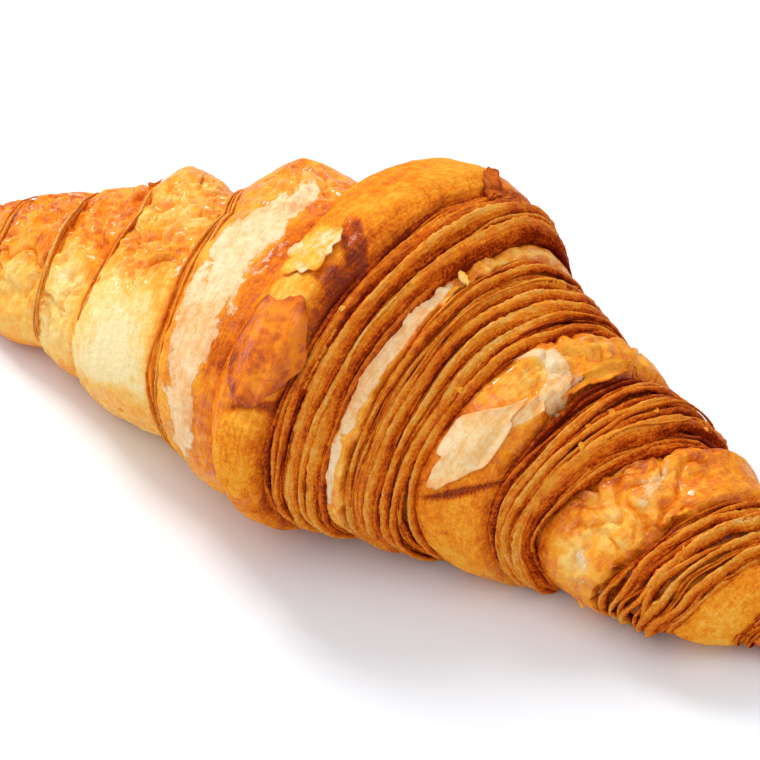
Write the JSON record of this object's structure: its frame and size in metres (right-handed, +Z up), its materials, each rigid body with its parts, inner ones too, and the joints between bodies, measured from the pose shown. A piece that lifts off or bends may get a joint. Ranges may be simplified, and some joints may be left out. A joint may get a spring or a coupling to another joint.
{
  "type": "croissant",
  "caption": "Straight laminated croissant, fat in the middle and tapering to rounded tips, with slanting fanned layer edges and a flat underside.",
  "frame": {"origin": "middle of the base of the bounding box, on the flat underside", "axes": "+X along the roll from the longer, slimmer end towards the stepped end, -Y the front that is seen, +Z up"},
  "size_m": [0.1746, 0.0666, 0.0531],
  "materials": {
    "baked_crust": null
  },
  "bodies": {
    "root": {"croissant": "baked_crust"}
  },
  "joints": []
}
